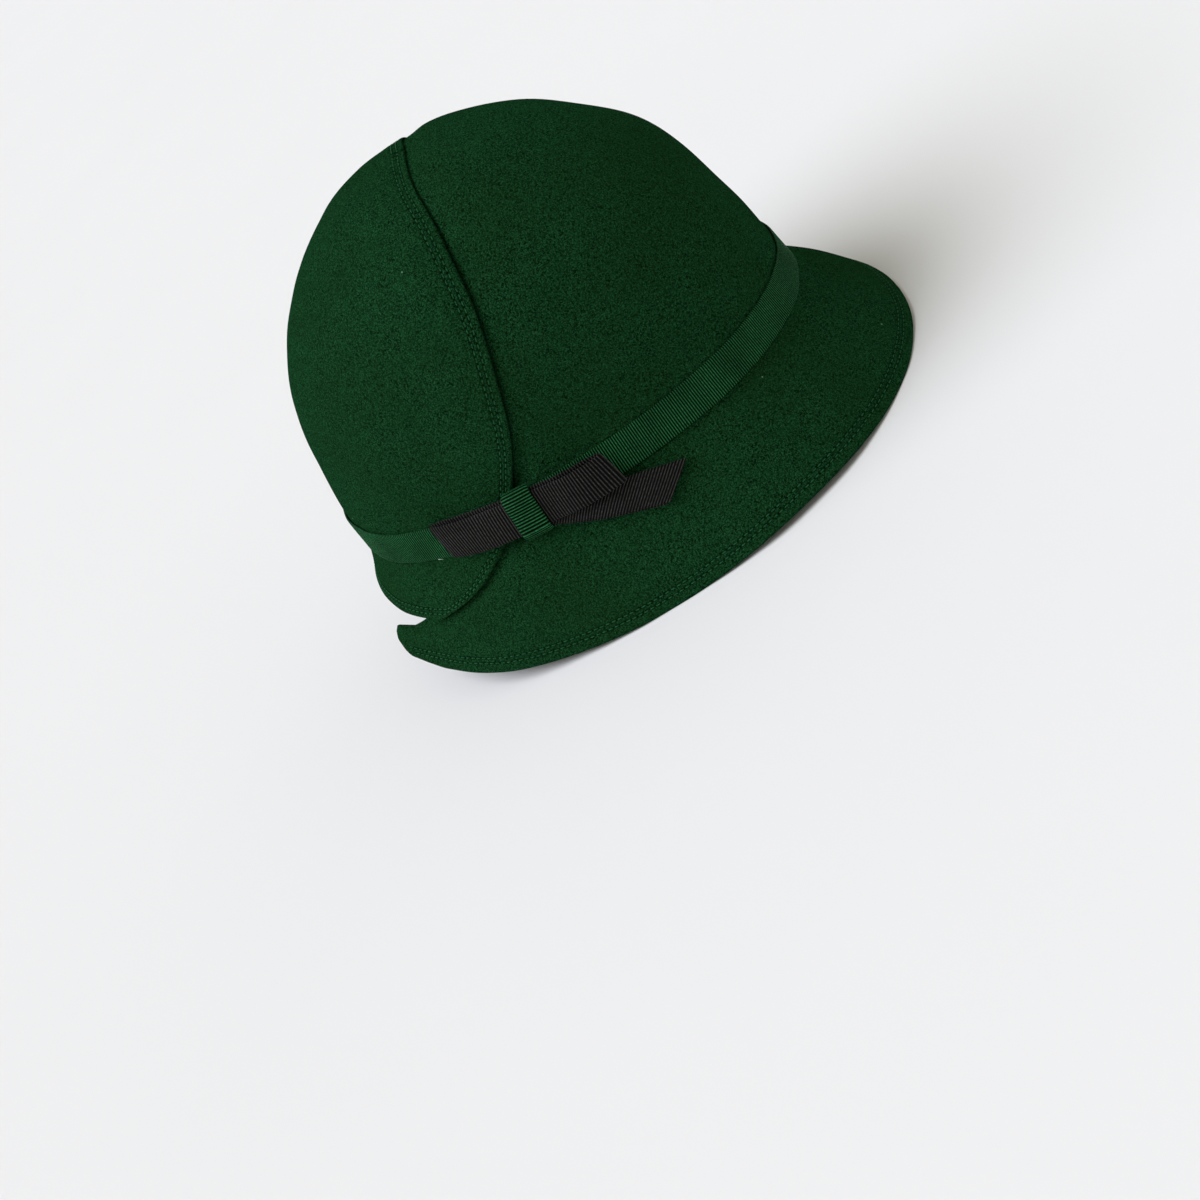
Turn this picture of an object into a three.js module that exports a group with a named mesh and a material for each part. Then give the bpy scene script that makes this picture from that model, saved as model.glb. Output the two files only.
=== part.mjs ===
// Cloche hat of wool felt: a front panel with the whole brim, a back panel lapped over it
// that ends in a short tab, a grosgrain band and a flat bow on the wearer's right.
// Millimetres, +Z up. The front of the hat is -Y and the wearer's right is -X. The hat
// stands on a table by itself, pitched forward onto the front and the sides of its brim.
//
// Places on the hat are given by an angle, from the front round to the back (0 to 180
// degrees), and by a height on the crown or a run down the brim from the break between them.
import * as THREE from 'three';
import { mergeVertices } from 'three/addons/utils/BufferGeometryUtils.js';

// ---- driving dimensions ----
const FELT = 2;                 // thickness of the felt
const RIBBON = 1;               // thickness of the ribbons
const GAP = 0.4;                // air between pieces that touch
const LAP = 8;                  // how far the front panel runs on under the back panel
const STEP = FELT + GAP;        // height of the back panel above the front panel
const CORNER_POWER = 2.15;      // 2 is an ellipse, more is squarer
const APEX_Y = -6;              // the crown's highest point lies ahead of its middle
const REST_PITCH = 5.6;         // forward tilt of the hat as it stands, degrees
const FLATTENED = 0.5;          // how much of the brim's edge the table presses flat

// Crown sections from the apex down to the break, evenly counted along the profile.
// seam is the angle of the back panel's edge.
const CROWN = [
  { height: 126, side: 0, front: 0, back: 0, seam: 90 },
  { height: 123, side: 22, front: 20, back: 30, seam: 89.5 },
  { height: 114, side: 42, front: 46, back: 49, seam: 87 },
  { height: 99.5, side: 58.5, front: 68, back: 68, seam: 87.5 },
  { height: 81.5, side: 69.5, front: 86, back: 83, seam: 89 },
  { height: 60.5, side: 75, front: 97.5, back: 92.5, seam: 92.5 },
  { height: 37.5, side: 77, front: 104, back: 97.5, seam: 97 },
  { height: 18, side: 77.5, front: 107.5, back: 100.5, seam: 103 },
  { height: 0, side: 81.5, front: 111, back: 101, seam: 110.5 },
];

// Brim every 30 degrees from the front to the back: its width and its slope below level,
// at the break and at the outer edge.
const BRIM = [
  { width: 49.5, slopeIn: 40, slopeOut: 54 },
  { width: 52, slopeIn: 42.5, slopeOut: 56.5 },
  { width: 52, slopeIn: 48.5, slopeOut: 61 },
  { width: 56, slopeIn: 64.5, slopeOut: 77.5 },
  { width: 55, slopeIn: 68.5, slopeOut: 78 },
  { width: 49, slopeIn: 67, slopeOut: 69 },
  { width: 47, slopeIn: 69, slopeOut: 55 },
];
const WALL_SLOPE = 82;          // slope of the crown's wall where it meets the brim
const TURN = 2.5;               // run over which the wall turns into the brim

// Angle of the brim's end at parts of its width: it passes under the tab, then runs out
// to the pointed tail.
const BRIM_END = [
  { part: 0, angle: 116 },
  { part: 0.2, angle: 126 },
  { part: 0.36, angle: 134 },
  { part: 0.45, angle: 139.5 },
  { part: 0.54, angle: 144.5 },
  { part: 0.65, angle: 150.5 },
  { part: 0.7, angle: 157.5 },
  { part: 0.82, angle: 157.5 },
  { part: 0.9, angle: 155.5 },
  { part: 0.94, angle: 153.5 },
  { part: 0.97, angle: 148.5 },
  { part: 1, angle: 142 },
];
const TAIL_FLICK = 2;           // how far the tail's tip bends outwards
const FLICK_FROM = 145;         // angle where the tail starts to bend
const FLICK_OVER = 12;

// Angle of the tab's side at parts of the brim's width, down to its hem.
const TAB_SIDE = [
  { part: 0, angle: 110.5 },
  { part: 0.14, angle: 116.5 },
  { part: 0.26, angle: 121.5 },
  { part: 0.36, angle: 127 },
  { part: 0.45, angle: 133 },
  { part: 0.53, angle: 138.5 },
];
const TAB_HEM = TAB_SIDE.at(-1).part;

// The seam's relief.
const VALLEY = 1.7;             // depth of the dip along the seam at the top
const VALLEY_WIDTH = 9;
const RAISED_FROM = 17;         // below this height the front panel sinks, above it the
const RAISED_OVER = 25;         // back panel rises
const FADE_BACK = { from: 10, over: 28 };
const FADE_FRONT = { clear: 3, over: 8 };

// Band and bow.
const RIBBON_WIDTH = 15;
const BOW_RISE = 7;             // height of the bow's middle above the break
const BAND = { low: 0, high: 14.5, lift: GAP };
const KNOT = { angle: 103, width: 10, low: -2.2, high: 15.8 };
const ARC_PER_DEGREE = 1.52;    // length along the band at the bow
const LOOP_DRIFT = 0.05;        // how fast the loops sink towards the front
const TAIL_TILT = 25.5;         // how far the tails point down from the band, degrees
const TAIL_WIDTH = 13.5;
const TAIL_CUT = 9.5;           // length of the slanting cut at the tails' ends

// ---- mesh sizes ----
const CROWN_ROWS = 15;
const FRONT_COLUMNS = 48;
const BACK_COLUMNS = 24;
const BAND_COLUMNS = 72;
// Parts of the brim's width where the panels have a row of points.
const BRIM_PARTS = [
  0.03, 0.08, 0.14, 0.2, 0.26, 0.31, 0.36, 0.4, 0.45, 0.49, 0.53, 0.59, 0.65, 0.7, 0.76, 0.82, 0.9, 0.94, 0.97, 1,
];

const radians = THREE.MathUtils.degToRad;
const smooth = (value) => THREE.MathUtils.smoothstep(value, 0, 1);

// ---- the hat's surface ----

// Smooth curve through evenly counted rows; before and after are the rows past the ends.
function rowAt(rows, place, before, after) {
  const last = rows.length - 1;
  const index = Math.min(Math.floor(place), last - 1);
  const f = place - index;
  const row = (i) => (i < 0 ? before : i > last ? after : rows[i]);
  const result = {};
  for (const key of Object.keys(rows[0])) {
    const [a, b, c, d] = [index - 1, index, index + 1, index + 2].map((i) => row(i)[key]);
    const curve = (2 * a - 5 * b + 4 * c - d) * f * f + (-a + 3 * b - 3 * c + d) * f * f * f;
    result[key] = 0.5 * (2 * b + (c - a) * f + curve);
  }
  return result;
}

// The angle at a part of the brim's width, by straight lines through a table's rows and
// level past its end.
function angleAt(rows, part) {
  const inside = Math.min(part, rows.at(-1).part);
  const next = Math.max(1, rows.findIndex((row) => row.part >= inside));
  const [low, high] = [rows[next - 1], rows[next]];
  return THREE.MathUtils.mapLinear(inside, low.part, high.part, low.angle, high.angle);
}

const aboveApex = { ...CROWN[1], side: -22, front: -20, back: -30 };
const belowBreak = {};
for (const key of Object.keys(CROWN[0])) {
  belowBreak[key] = 2 * CROWN.at(-1)[key] - CROWN.at(-2)[key];
}
const crownRow = (t) => rowAt(CROWN, t * (CROWN.length - 1), aboveApex, belowBreak);

function brimRow(angle) {
  const turned = Math.abs(((angle + 540) % 360) - 180);
  return rowAt(BRIM, (turned / 180) * (BRIM.length - 1), BRIM[1], BRIM.at(-2));
}

// A point on the crown; t counts from 0 at the apex to 1 at the break.
function crownPoint(angle, t) {
  const { height, side, front, back } = crownRow(t);
  const [across, ahead] = [Math.sin(radians(angle)), Math.cos(radians(angle))];
  const power = Math.abs(across) ** CORNER_POWER + Math.abs(ahead) ** CORNER_POWER;
  const k = power ** (-1 / CORNER_POWER);
  const reach = ahead > 0 ? front : back;
  return new THREE.Vector3(-across * k * side, APEX_Y * (1 - t) ** 2 - ahead * k * reach, height);
}

// A point on the brim; part counts from 0 at the break to 1 at the outer edge.
function brimPoint(angle, part) {
  const point = crownPoint(angle, 1);
  const along = crownPoint(angle + 0.1, 1).sub(crownPoint(angle - 0.1, 1)).normalize();
  const outward = new THREE.Vector3(along.y, -along.x, 0);
  if (outward.dot(point) < 0) outward.negate();
  const { width, slopeIn, slopeOut } = brimRow(angle);
  const steps = 16;
  let before = 0;
  for (let i = 1; i <= steps; i += 1) {
    const after = part * width * (i / steps) ** 1.6;
    const middle = (before + after) / 2;
    const flare = slopeIn + (slopeOut - slopeIn) * (middle / width);
    const slope = radians(flare + (WALL_SLOPE - slopeIn) * Math.exp(-middle / TURN));
    point.addScaledVector(outward, Math.cos(slope) * (after - before));
    point.z -= Math.sin(slope) * (after - before);
    before = after;
  }
  return point;
}

// s runs from 0 to 1 down the crown and from 1 to 2 across the brim.
const plainPoint = (angle, s) => (s <= 1 ? crownPoint(angle, s) : brimPoint(angle, s - 1));

function normalAt(angle, s) {
  if (s < 0.01) return new THREE.Vector3(0, 0, 1);
  const round = plainPoint(angle - 0.2, s).sub(plainPoint(angle + 0.2, s));
  const down = plainPoint(angle, Math.min(s + 0.005, 2)).sub(plainPoint(angle, s - 0.005));
  return down.cross(round).normalize();
}

const skinPoint = (angle, s, lift) => plainPoint(angle, s).addScaledVector(normalAt(angle, s), lift);

// ---- the two felt panels ----

const seamAngle = (s) => (s <= 1 ? crownRow(s).seam : 0);

// How far a place lies behind the back panel's edge (negative: ahead of it or below it).
function behindEdge(angle, s) {
  const turned = Math.min(Math.abs(angle), 360 - Math.abs(angle));
  if (s <= 1) return plainPoint(turned, s).y - plainPoint(seamAngle(s), s).y;
  const side = angleAt(TAB_SIDE, s - 1);
  const behind = plainPoint(turned, s).y - plainPoint(side, s).y;
  return Math.min(behind, (1 + TAB_HEM - s) * brimRow(turned).width);
}

// 0 where the front panel does the stepping down, 1 where the back panel steps up.
const raised = (z) => THREE.MathUtils.clamp((z - RAISED_FROM) / RAISED_OVER, 0, 1);

function valleyAt(behind, z) {
  return VALLEY * Math.exp(-((behind / VALLEY_WIDTH) ** 2)) * THREE.MathUtils.clamp((z - 60) / 50, 0, 1);
}

function frontLift(angle, s) {
  const behind = behindEdge(angle, s);
  const { z } = plainPoint(angle, s);
  const sink = STEP * (1 - raised(z)) * smooth((behind + FADE_FRONT.clear) / FADE_FRONT.over + 1);
  const flick = s > 1 ? TAIL_FLICK * smooth((Math.abs(angle) - FLICK_FROM) / FLICK_OVER) : 0;
  return flick - sink - valleyAt(behind, z);
}

function backLift(angle, s) {
  const behind = behindEdge(angle, s);
  const { z } = plainPoint(angle, s);
  const rise = STEP * raised(z) * (1 - smooth((behind - FADE_BACK.from) / FADE_BACK.over));
  return rise - valleyAt(behind, z);
}

// Half the angle that the front panel covers.
function frontHalf(s) {
  if (s > 1) return angleAt(BRIM_END, s - 1);
  const { side, seam } = crownRow(s);
  return seam + Math.min(THREE.MathUtils.radToDeg(LAP / Math.max(side, 1)), 40);
}

// Half the angle that the back panel covers, either side of the back.
function backHalf(s) {
  if (s <= 1) return 180 - crownRow(s).seam;
  return 180 - angleAt(TAB_SIDE, s - 1);
}

// ---- closed solids ----

// A closed solid between two grids of points, its outer and inner faces. ring joins the
// last column to the first.
function gridSolid(rows, columns, outer, inner, ring = false) {
  const points = [];
  for (const face of [outer, inner]) {
    for (let i = 0; i <= rows; i += 1) {
      for (let j = 0; j <= columns; j += 1) points.push(face(i, ring ? j % columns : j));
    }
  }
  const at = (face, i, j) => (face * (rows + 1) + i) * (columns + 1) + j;
  const corners = [];
  const apart = (a, b) => points[a].distanceTo(points[b]);
  // Four corners make two triangles, split along the shorter diagonal.
  const quad = (a, b, c, d) => {
    if (apart(a, c) <= apart(b, d)) corners.push(a, b, c, a, c, d);
    else corners.push(b, c, d, b, d, a);
  };
  for (let i = 0; i < rows; i += 1) {
    for (let j = 0; j < columns; j += 1) {
      quad(at(0, i, j), at(0, i + 1, j), at(0, i + 1, j + 1), at(0, i, j + 1));
      quad(at(1, i, j), at(1, i, j + 1), at(1, i + 1, j + 1), at(1, i + 1, j));
    }
  }
  for (let j = 0; j < columns; j += 1) {
    quad(at(0, 0, j), at(0, 0, j + 1), at(1, 0, j + 1), at(1, 0, j));
    quad(at(0, rows, j), at(1, rows, j), at(1, rows, j + 1), at(0, rows, j + 1));
  }
  for (let i = 0; i < rows && !ring; i += 1) {
    quad(at(0, i, 0), at(1, i, 0), at(1, i + 1, 0), at(0, i + 1, 0));
    quad(at(0, i, columns), at(0, i + 1, columns), at(1, i + 1, columns), at(1, i, columns));
  }
  const loose = new THREE.BufferGeometry().setFromPoints(points);
  loose.setIndex(corners);
  return faceOutwards(dropSlivers(mergeVertices(loose, 0.001)));
}

// Removes the triangles that merging has closed to a line.
function dropSlivers(geometry) {
  const corners = [];
  const index = geometry.index.array;
  for (let i = 0; i < index.length; i += 3) {
    const [a, b, c] = index.slice(i, i + 3);
    if (a !== b && b !== c && c !== a) corners.push(a, b, c);
  }
  geometry.setIndex(corners);
  return geometry;
}

// Turns the triangles over if the solid's volume comes out negative.
function faceOutwards(geometry) {
  const { array } = geometry.index;
  const corner = (i) => new THREE.Vector3().fromBufferAttribute(geometry.attributes.position, array[i]);
  let volume = 0;
  for (let i = 0; i < array.length; i += 3) volume += corner(i).dot(corner(i + 1).cross(corner(i + 2)));
  if (volume < 0) array.reverse();
  return geometry;
}

// A felt panel from the apex down: rows lists the places down the hat, half the angle
// covered either side of the middle angle.
function feltPanel(rows, columns, middle, half, lift) {
  const face = (depth) => (i, j) => {
    const s = rows[i];
    const angle = middle + (2 * (j / columns) - 1) * half(s);
    return skinPoint(s === 0 ? middle : angle, s, (s === 0 ? lift(0, 0) : lift(angle, s)) - depth);
  };
  return gridSolid(rows.length - 1, columns, face(0), face(FELT));
}

const evenly = (count, from, to) =>
  Array.from({ length: count }, (_, i) => from + ((to - from) * (i + 1)) / count);

function frontPanel() {
  const rows = [0, ...evenly(CROWN_ROWS, 0, 1), ...BRIM_PARTS.map((part) => 1 + part)];
  return feltPanel(rows, FRONT_COLUMNS, 0, frontHalf, frontLift);
}

function backPanel() {
  const tab = [...BRIM_PARTS.filter((part) => part < TAB_HEM), TAB_HEM];
  const rows = [0, ...evenly(CROWN_ROWS, 0, 1), ...tab.map((part) => 1 + part)];
  return feltPanel(rows, BACK_COLUMNS, 180, backHalf, backLift);
}

// ---- ribbons ----

// A place over the felt near the break: rise is up the crown or, if negative, down the brim.
function overFelt(angle, rise, lift) {
  const crownScale = (CROWN.length - 1) * CROWN.at(-2).height;
  const s = rise > 0 ? 1 - rise / crownScale : 1 - rise / brimRow(angle).width;
  return skinPoint(angle, s, lift);
}

function ribbonBand() {
  const angle = (j) => (360 * j) / BAND_COLUMNS;
  const rise = (i) => THREE.MathUtils.lerp(BAND.high, BAND.low, i / 2);
  const face = (lift) => (i, j) => overFelt(angle(j), rise(i), lift);
  return gridSolid(2, BAND_COLUMNS, face(BAND.lift + RIBBON), face(BAND.lift), true);
}

// A strip of ribbon at the bow. route gives [arc from the knot, rise, lift] of its middle
// line, across the direction of its width and cut how far its far end is slanted.
function ribbonStrip({ route, across, width, steps, closed = false, cut = 0 }) {
  const curve = new THREE.CatmullRomCurve3(route.map((place) => new THREE.Vector3(...place)), closed);
  const rows = 3;
  const face = (side) => (i, j) => {
    const tangent = curve.getTangent(j / steps);
    const off = i / rows - 0.5;
    const place = curve.getPoint(j / steps).addScaledVector(across, off * width);
    place.addScaledVector(tangent, off * cut * (j / steps));
    place.addScaledVector(tangent.cross(across).normalize(), (side * RIBBON) / 2);
    return overFelt(KNOT.angle + place.x / ARC_PER_DEGREE, place.y, place.z);
  };
  return gridSolid(rows, steps, face(1), face(-1), closed);
}

// Lifts of the middle lines of the stacked ribbons over the felt.
const layer = (count) => GAP + RIBBON / 2 + count * (RIBBON + GAP);

// One ring of ribbon, pressed flat and held at its middle by the knot.
function bowLoops() {
  const flat = [
    [0, layer(1)],
    [-7, layer(1)],
    [-14, layer(3)],
    [-29, layer(3)],
    [-31.8, layer(4)],
    [-29, layer(5)],
    [-17, layer(5)],
    [-7, layer(2)],
    [0, layer(2)],
    [7, layer(2)],
    [17, layer(3)],
    [29, layer(3)],
    [31.8, layer(2)],
    [29, layer(1)],
    [12, layer(1)],
  ];
  const route = flat.map(([arc, lift]) => [arc, BOW_RISE + LOOP_DRIFT * arc, lift]);
  return ribbonStrip({
    route, across: new THREE.Vector3(0, 1, 0), width: RIBBON_WIDTH, steps: 84, closed: true,
  });
}

// A tail points away from the knot's middle: it starts under the front loop, over the band,
// and comes down onto the brim.
function bowTail(start, end, count, drop) {
  const tilt = radians(TAIL_TILT);
  const along = (arc, lift) => [-arc, BOW_RISE - drop - arc * Math.tan(tilt), lift];
  return ribbonStrip({
    route: [
      along(start, layer(count)),
      along(28, layer(count)),
      along(end, layer(count - 1) + GAP / 2),
    ],
    across: new THREE.Vector3(-Math.sin(tilt), Math.cos(tilt), 0),
    width: TAIL_WIDTH,
    steps: 14,
    cut: TAIL_CUT,
  });
}

// The knot is a strap over the middle of the loops, turned in at the top and bottom.
function bowKnot() {
  const outer = layer(3);
  const route = [
    [0, KNOT.high, layer(0)],
    [0, KNOT.high, layer(2)],
    [0, KNOT.high - 2, outer],
    [0, (KNOT.high + KNOT.low) / 2, outer],
    [0, KNOT.low + 2, outer],
    [0, KNOT.low, layer(2)],
    [0, KNOT.low, layer(0)],
  ];
  return ribbonStrip({ route, across: new THREE.Vector3(1, 0, 0), width: KNOT.width, steps: 28 });
}

// ---- assembly ----

const felt = { color: 0x123b24, roughness: 0.95, metalness: 0 };
const greenRibbon = { color: 0x173820, roughness: 0.6, metalness: 0 };
const blackRibbon = { color: 0x1e1d1c, roughness: 0.65, metalness: 0 };

const pieces = [
  { name: 'front_panel', geometry: frontPanel(), finish: felt },
  { name: 'back_panel', geometry: backPanel(), finish: felt },
  { name: 'ribbon_band', geometry: ribbonBand(), finish: greenRibbon },
  { name: 'bow_loops', geometry: bowLoops(), finish: blackRibbon },
  { name: 'bow_tail_upper', geometry: bowTail(16, 42, 2, 0), finish: blackRibbon },
  { name: 'bow_tail_lower', geometry: bowTail(14, 41, 1, 0.8), finish: blackRibbon },
  { name: 'bow_knot', geometry: bowKnot(), finish: greenRibbon },
];

// The lowest part of the brim is pressed flat where the hat rests on it.
function pressFlat(geometry, floor) {
  const { position } = geometry.attributes;
  for (let i = 0; i < position.count; i += 1) {
    if (position.getZ(i) < floor) position.setZ(i, floor);
  }
}

const hat = new THREE.Group();
for (const { name, geometry, finish } of pieces) {
  geometry.rotateX(radians(REST_PITCH));
  geometry.computeBoundingBox();
  const mesh = new THREE.Mesh(geometry, new THREE.MeshStandardMaterial(finish));
  mesh.name = name;
  hat.add(mesh);
}
const brimPiece = pieces[0].geometry;
const floor = brimPiece.boundingBox.min.z + FLATTENED;
pressFlat(brimPiece, floor);

// The origin is the bottom centre of the standing hat.
const box = new THREE.Box3().setFromObject(hat);
const middle = box.getCenter(new THREE.Vector3());
hat.position.set(-middle.x, -middle.y, -floor);

export default hat;
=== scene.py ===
"""Looks of a felt cloche hat with a grosgrain band and bow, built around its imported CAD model.

Lengths are in millimetres until a mesh is made, and the places on the hat are those of the CAD source: an
angle from the front (0) round to the back (180), on the wearer's right if positive, and s, which runs from 0
at the apex to 1 at the break between crown and brim, and from 1 to 2 across the brim.
"""
import math

import bpy
import numpy as np
from mathutils import Matrix, Vector


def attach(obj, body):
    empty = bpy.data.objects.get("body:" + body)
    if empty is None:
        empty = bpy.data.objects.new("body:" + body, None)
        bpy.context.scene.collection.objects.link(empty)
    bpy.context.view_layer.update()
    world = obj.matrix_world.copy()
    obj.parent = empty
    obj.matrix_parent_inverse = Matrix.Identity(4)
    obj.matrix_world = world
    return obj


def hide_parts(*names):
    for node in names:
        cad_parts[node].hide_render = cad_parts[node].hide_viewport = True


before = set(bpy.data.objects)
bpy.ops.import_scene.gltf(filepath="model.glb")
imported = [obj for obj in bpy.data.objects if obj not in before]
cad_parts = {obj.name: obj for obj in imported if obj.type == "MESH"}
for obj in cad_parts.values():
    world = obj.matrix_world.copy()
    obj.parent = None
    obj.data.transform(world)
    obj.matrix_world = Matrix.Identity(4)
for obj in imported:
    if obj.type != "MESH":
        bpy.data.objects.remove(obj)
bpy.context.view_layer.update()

MM = 0.001

# ---- the hat's shape, as in the CAD source ----
# The crown, brim and tab tables, the seam angles and the valley are rounded output of fitting programs,
# in places changed. The brim's end was set close to such output.
FELT = 2.0
RIBBON = 1.0
GAP = 0.4
LAP = 8.0
STEP = FELT + GAP
CORNER_POWER = 2.15
APEX_Y = -6.0
REST_PITCH = 5.6
HAT_PLACE = np.array([0.0, 12.989, 52.874])     # as printed by the built CAD source
WALL_SLOPE = 82.0
TURN = 2.5

# Crown sections from the apex to the break: height, side, front, back, seam angle.
HEIGHT, SIDE, FRONT, BACK, SEAM = range(5)
CROWN = np.array([
    [126, 0, 0, 0, 90],
    [123, 22, 20, 30, 89.5],
    [114, 42, 46, 49, 87],
    [99.5, 58.5, 68, 68, 87.5],
    [81.5, 69.5, 86, 83, 89],
    [60.5, 75, 97.5, 92.5, 92.5],
    [37.5, 77, 104, 97.5, 97],
    [18, 77.5, 107.5, 100.5, 103],
    [0, 81.5, 111, 101, 110.5],
])
ABOVE_APEX = np.array([123, -22, -20, -30, 89.5])
BELOW_BREAK = 2 * CROWN[-1] - CROWN[-2]

# Brim every 30 degrees from the front to the back: width, slope at the break, slope at the edge.
BRIM = np.array([
    [49.5, 40, 54],
    [52, 42.5, 56.5],
    [52, 48.5, 61],
    [56, 64.5, 77.5],
    [55, 68.5, 78],
    [49, 67, 69],
    [47, 69, 55],
])

# The brim's end and the tab's side: part of the brim's width, angle.
BRIM_END = np.array([
    [0, 116], [0.2, 126], [0.36, 134], [0.45, 139.5], [0.54, 144.5], [0.65, 150.5], [0.7, 157.5],
    [0.82, 157.5], [0.9, 155.5], [0.94, 153.5], [0.97, 148.5], [1, 142],
])
TAB_SIDE = np.array([[0, 110.5], [0.14, 116.5], [0.26, 121.5], [0.36, 127], [0.45, 133], [0.53, 138.5]])
TAB_HEM = TAB_SIDE[-1, 0]
TAIL_FLICK = 2.0
FLICK_FROM = 145.0
FLICK_OVER = 12.0

# The seam's relief.
VALLEY = 1.7
VALLEY_WIDTH = 9.0
RAISED_FROM = 17.0
RAISED_OVER = 25.0
PRESSED_FROM = 98.0             # over the top of the crown the lap is pressed half into the felt
PRESSED_OVER = 22.0
BACK_FADE_FROM = 10.0
BACK_FADE_OVER = 28.0
FRONT_FADE_CLEAR = 3.0
FRONT_FADE_OVER = 8.0

# Band and bow.
KNOT_ANGLE = 103.0
ARC_PER_DEGREE = 1.52
BOW_RISE = 7.0

# ---- stitching and ribbon, as the real thing has them ----
BRIM_ROWS = (4.8, 7.2)          # stitch rows, distance from the brim's edge
BACK_ROWS = (2.9, 5.1)          # stitch rows, distance behind the back panel's edge
STITCH_PITCH = 2.75
STITCH_LENGTH = 1.95
STITCH_RADIUS = 0.24
GROOVE_DEPTH = 0.55
GROOVE_WIDTH = 0.55
STITCH_LIFT = 0.36 - GROOVE_DEPTH
CREASE_DEPTH = 0.6              # the fold in the front panel under the back panel's edge
CREASE_WIDTH = 1.0
RIB_PITCH = 1.03
RIB_STEPS = 6                   # points along each rib's width
BOW_THICKNESS = 0.4
RIBBON_ROUND = 0.3              # how far in a ribbon's rounded edge reaches
USUAL_WIDTH = 50.0              # a middling brim width, which spaces the rows of points
USUAL_RADIUS = 95.0             # about the radius of the hat, for distances round it
CLEAR_OF_TAILS = 3.2            # degrees from the brim's end to its last stitch
CLOSE = 1e-6


def smooth(value):
    value = np.clip(value, 0, 1)
    return value * value * (3 - 2 * value)


def run_along(line):
    """Distance along a line of points, at each of them."""
    return np.concatenate([[0], np.cumsum(np.linalg.norm(np.diff(line, axis=0), axis=1))])


def through(rows, place, before, after):
    """Smooth curve through evenly counted rows; before and after are the rows past the ends."""
    padded = np.vstack([before, rows, after])
    index = np.clip(np.floor(place).astype(int), 0, len(rows) - 2)
    f = (place - index)[..., None]
    a, b, c, d = (padded[index + k] for k in range(4))
    square = (2 * a - 5 * b + 4 * c - d) * f ** 2
    cube = (3 * b - a - 3 * c + d) * f ** 3
    return 0.5 * (2 * b + (c - a) * f + square + cube)


def crown_row(t):
    return through(CROWN, np.asarray(t, float) * (len(CROWN) - 1), ABOVE_APEX, BELOW_BREAK)


def brim_row(angle):
    turned = np.abs((np.asarray(angle, float) + 540) % 360 - 180)
    return through(BRIM, turned / 180 * (len(BRIM) - 1), BRIM[1], BRIM[-2])


def crown_point(angle, t):
    row = crown_row(t)
    across, ahead = np.sin(np.radians(angle)), np.cos(np.radians(angle))
    k = (np.abs(across) ** CORNER_POWER + np.abs(ahead) ** CORNER_POWER) ** (-1 / CORNER_POWER)
    reach = np.where(ahead > 0, row[..., FRONT], row[..., BACK])
    x = -across * k * row[..., SIDE]
    y = APEX_Y * (1 - t) ** 2 - ahead * k * reach
    return np.stack([x, y, row[..., HEIGHT] + 0 * x], -1)


def brim_point(angle, part):
    ones = np.ones_like(angle)
    point = crown_point(angle, ones)
    along = crown_point(angle + 0.1, ones) - crown_point(angle - 0.1, ones)
    along /= np.linalg.norm(along, axis=-1, keepdims=True)
    outward = np.stack([along[..., 1], -along[..., 0], 0 * angle], -1)
    outward *= np.where((outward * point).sum(-1) < 0, -1, 1)[..., None]
    width, slope_in, slope_out = np.moveaxis(brim_row(angle), -1, 0)
    steps = 16
    before = 0 * part
    for i in range(1, steps + 1):
        after = part * width * (i / steps) ** 1.6
        middle = (before + after) / 2
        flare = slope_in + (slope_out - slope_in) * (middle / width)
        slope = np.radians(flare + (WALL_SLOPE - slope_in) * np.exp(-middle / TURN))
        point = point + outward * (np.cos(slope) * (after - before))[..., None]
        point[..., 2] -= np.sin(slope) * (after - before)
        before = after
    return point


def plain_point(angle, s):
    angle, s = np.broadcast_arrays(np.asarray(angle, float), np.asarray(s, float))
    point = crown_point(angle, np.minimum(s, 1))
    low = s > 1
    if low.any():
        point[low] = brim_point(angle[low], s[low] - 1)
    return point


def normal_at(angle, s):
    angle, s = np.broadcast_arrays(np.asarray(angle, float), np.asarray(s, float))
    around = plain_point(angle - 0.2, s) - plain_point(angle + 0.2, s)
    down = plain_point(angle, np.minimum(s + 0.005, 2)) - plain_point(angle, np.maximum(s - 0.005, 0))
    normal = np.cross(down, around)
    length = np.linalg.norm(normal, axis=-1, keepdims=True)
    normal = normal / np.maximum(length, 1e-9)
    normal[s < 0.01] = (0, 0, 1)
    return normal


def waves(points):
    """Gentle unevenness of steamed felt, shared by all the pieces so that they stay apart."""
    x, y, z = np.moveaxis(points, -1, 0)
    slow = 0.26 * np.sin(0.105 * x + 0.062 * y + 0.047 * z + 1.3)
    slow = slow + 0.22 * np.sin(0.12 * y - 0.05 * x + 0.09 * z)
    quick = 0.1 * np.sin(0.19 * x - 0.12 * y + 0.16 * z + 2.1)
    quick = quick + 0.07 * np.sin(0.27 * y + 0.21 * x - 0.13 * z)
    return slow + quick


def skin(angle, s):
    """Points on the hat's surface and the directions out of it."""
    point, normal = plain_point(angle, s), normal_at(angle, s)
    return point + normal * waves(point)[..., None], normal


def standing(points):
    """From the hat's own position to the standing one, in metres."""
    tilt = math.radians(REST_PITCH)
    turned = np.array(points, float)
    turned[..., 1] = points[..., 1] * math.cos(tilt) - points[..., 2] * math.sin(tilt)
    turned[..., 2] = points[..., 1] * math.sin(tilt) + points[..., 2] * math.cos(tilt)
    turned += HAT_PLACE
    turned[..., 2] = np.maximum(turned[..., 2], 0)
    return turned * MM


# ---- the seam and the panels' edges ----

def behind_seam(angle, s):
    """How far a place on the crown lies behind the back panel's edge."""
    seam = crown_row(np.minimum(s, 1))[..., SEAM]
    return plain_point(angle, s)[..., 1] - plain_point(seam, s)[..., 1]


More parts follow.
